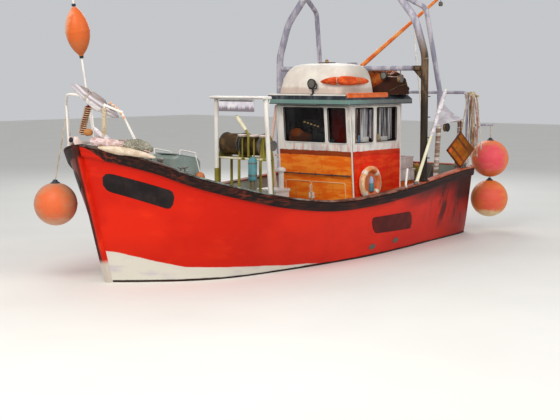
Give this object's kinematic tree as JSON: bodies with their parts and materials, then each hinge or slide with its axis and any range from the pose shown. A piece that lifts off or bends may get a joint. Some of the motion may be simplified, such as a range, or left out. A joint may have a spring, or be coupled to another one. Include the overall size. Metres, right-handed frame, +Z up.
{
  "type": "fishing trawler",
  "caption": "Small inshore trawler afloat, with a forward-leaning wheelhouse, arched gantry with a derrick, winch, net drum and trawl boards.",
  "frame": {"origin": "on the centreline, amidships, at the waterline", "axes": "+X to the bow, +Y to port, +Z up"},
  "size_m": [10.96, 4.0132, 6.872],
  "materials": {
    "red_paint": "brushed gloss paint, darker at the quarter",
    "dark_rail": "worn paint on timber",
    "brown_wood": "varnished and worn",
    "antifouling": "matt antifouling",
    "bronze": "cast and turned",
    "slate_green": "weathered paint",
    "deck_paint": "non-slip deck paint",
    "steel": "worn and rust stained",
    "white_paint": "rust streaked gloss",
    "canvas": "weathered canvas",
    "net_pink": "net and rope",
    "net_red": "net and canvas",
    "net_olive": "wound net",
    "buoy_orange": "inflated, sun bleached",
    "winch_olive": "chipped paint",
    "teal_paint": "faded paint",
    "orange_paint": "gloss paint, redder on the side",
    "glass": "clear",
    "boom_orange": "chipped paint",
    "dark_metal": "satin",
    "mast_grey": "weathered, rust stained",
    "rust_wood": "wet rusty planks"
  },
  "bodies": {
    "boat": {"hull": "red_paint", "bulwark_port": "red_paint", "bulwark_starboard": "red_paint", "bulwark_stern": "red_paint", "stem_post": "brown_wood", "gunwale_port": "dark_rail", "gunwale_starboard": "dark_rail", "keel": "antifouling", "companion_hood": "slate_green", "mooring_bitts": "steel", "stem_roller": "steel", "bow_pulpit": "white_paint", "furled_canvas": "canvas", "foredeck_net_heap": "net_pink", "dan_buoy": "buoy_orange", "bow_fender": "buoy_orange", "hold_casing": "deck_paint", "shelter_frame": "white_paint", "shelter_board": "white_paint", "winch_frame": "winch_olive", "oil_tank": "teal_paint", "deck_locker": "white_paint", "wheelhouse_front": "orange_paint", "wheelhouse_port": "orange_paint", "wheelhouse_starboard": "orange_paint", "wheelhouse_aft": "orange_paint", "glass_front": "glass", "glass_port": "glass", "glass_starboard": "glass", "wheelhouse_roof": "slate_green", "roof_cap": "white_paint", "roof_rail": "boom_orange", "roof_net_heap": "net_red", "roof_canvas_roll": "net_red", "searchlight": "dark_metal", "console": "brown_wood", "helm_seat": "dark_metal", "lifebuoy": "buoy_orange", "gantry": "mast_grey", "gallows_port": "mast_grey", "gallows_starboard": "mast_grey", "trawl_board_port": "rust_wood", "trawl_board_starboard": "rust_wood", "net_drum_frame": "steel", "stern_frame": "mast_grey", "stern_buoy_upper": "buoy_orange", "stern_buoy_lower": "buoy_orange", "ensign_staff": "white_paint", "ensign": "canvas"},
    "propeller_body": {"propeller": "bronze"},
    "rudder_body": {"rudder": "antifouling"},
    "door_body": {"wheelhouse_door": "white_paint"},
    "hatch_body": {"hatch_lid": "deck_paint"},
    "winch_body": {"winch_drums": "steel"},
    "net_drum_body": {"net_drum": "net_olive"},
    "swivel_body": {"derrick_swivel": "steel"},
    "boom_body": {"derrick_boom": "boom_orange"}
  },
  "joints": [
    {"name": "propeller_spin", "type": "hinge", "parent": "boat", "child": "propeller_body", "pos_m": [-3.86, 0, -0.85], "axis": [1, 0, 0], "continuous": true},
    {"name": "rudder_turn", "type": "hinge", "parent": "boat", "child": "rudder_body", "pos_m": [-4.4, 0, -0.8], "axis": [0, 0, 1], "range_deg": [-35, 35]},
    {"name": "door_swing", "type": "hinge", "parent": "boat", "child": "door_body", "pos_m": [-2.776, -0.775, 1.4], "axis": [0, 0, 1], "range_deg": [0, 110]},
    {"name": "hatch_swing", "type": "hinge", "parent": "boat", "child": "hatch_body", "pos_m": [2.155, 0, 1.04], "axis": [0, 1, 0], "range_deg": [0, 110]},
    {"name": "winch_spin", "type": "hinge", "parent": "boat", "child": "winch_body", "pos_m": [0.79, 0, 2.08], "axis": [0, 1, 0], "continuous": true},
    {"name": "net_drum_spin", "type": "hinge", "parent": "boat", "child": "net_drum_body", "pos_m": [-4.02, 0, 1.08], "axis": [0, 1, 0], "continuous": true},
    {"name": "derrick_slew", "type": "hinge", "parent": "boat", "child": "swivel_body", "pos_m": [-2.4, 0, 3.5], "axis": [0, 0, 1], "range_deg": [-60, 60]},
    {"name": "derrick_luff", "type": "hinge", "parent": "swivel_body", "child": "boom_body", "pos_m": [-2.54, 0, 3.5], "axis": [0, 1, 0], "range_deg": [-15, 35]}
  ]
}
